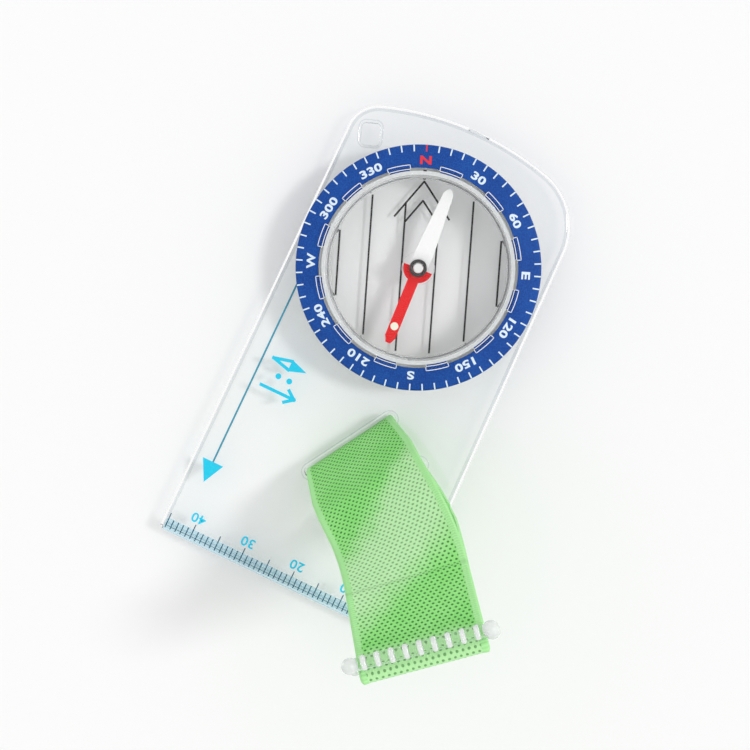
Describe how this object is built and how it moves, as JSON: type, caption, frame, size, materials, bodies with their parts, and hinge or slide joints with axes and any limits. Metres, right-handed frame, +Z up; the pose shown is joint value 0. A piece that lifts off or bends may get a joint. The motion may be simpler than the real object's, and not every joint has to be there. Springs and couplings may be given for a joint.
{
  "type": "baseplate compass",
  "caption": "Clear baseplate compass with a turning blue dial, liquid capsule, swinging needle, ruler edge and a sewn elastic thumb loop with a sliding clasp.",
  "frame": {"origin": "on the dial's turning axis, in the plane that the compass rests on", "axes": "+Z up out of the dial's face, +Y from the ruler edge towards the dial end, +X across the plate"},
  "size_m": [0.0597, 0.0904, 0.0485],
  "materials": {
    "clear_acrylic": "polished clear acrylic",
    "white_nylon": "satin nylon",
    "blue_plastic": "fine-grained satin blue",
    "clear_lid": "polished clear plastic",
    "clear_capsule": "polished clear plastic",
    "seal_rubber": "soft translucent seal",
    "fill_plug_plastic": "satin",
    "spring_steel": "bright wire",
    "pivot_steel": "polished",
    "jewel_glass": "polished",
    "magnet_steel": "plain steel",
    "red_lacquer": "gloss red lacquer",
    "white_translucent": "milky translucent",
    "clear_hub": "polished clear plastic",
    "black_plastic": "gloss black",
    "luminous_paint": "matt cream luminous paint",
    "green_webbing": "knitted elastic",
    "green_thread": "sewing thread",
    "clear_slider": "moulded clear plastic"
  },
  "bodies": {
    "plate": {"baseplate": "clear_acrylic", "friction_washer": "white_nylon", "thumb_strap": "green_webbing", "strap_stitching": "green_thread"},
    "dial": {"dial_ring": "blue_plastic", "capsule_lid": "clear_lid", "capsule_body": "clear_capsule", "capsule_seal": "seal_rubber", "fill_plug": "fill_plug_plastic", "snap_ring": "spring_steel", "pivot_pin": "pivot_steel"},
    "needle": {"needle_jewel": "jewel_glass", "needle_magnet": "magnet_steel", "needle_north_half": "red_lacquer", "needle_south_half": "white_translucent", "needle_hub_disc": "clear_hub", "needle_hub_ring": "black_plastic", "needle_lume_dot": "luminous_paint"},
    "slider": {"slider_top_bar": "clear_slider", "slider_bottom_bar": "clear_slider"}
  },
  "joints": [
    {"name": "dial_turn", "type": "hinge", "parent": "plate", "child": "dial", "pos_m": [0, 0, 0.0044], "axis": [0, 0, 1], "continuous": true},
    {"name": "needle_swing", "type": "hinge", "parent": "dial", "child": "needle", "pos_m": [0, 0, 0.00555], "axis": [0, 0, 1], "continuous": true},
    {"name": "slider_slide", "type": "slide", "parent": "plate", "child": "slider", "axis": [-0.4039, 0.4646, -0.788], "range_m": [0, 0.006]}
  ]
}
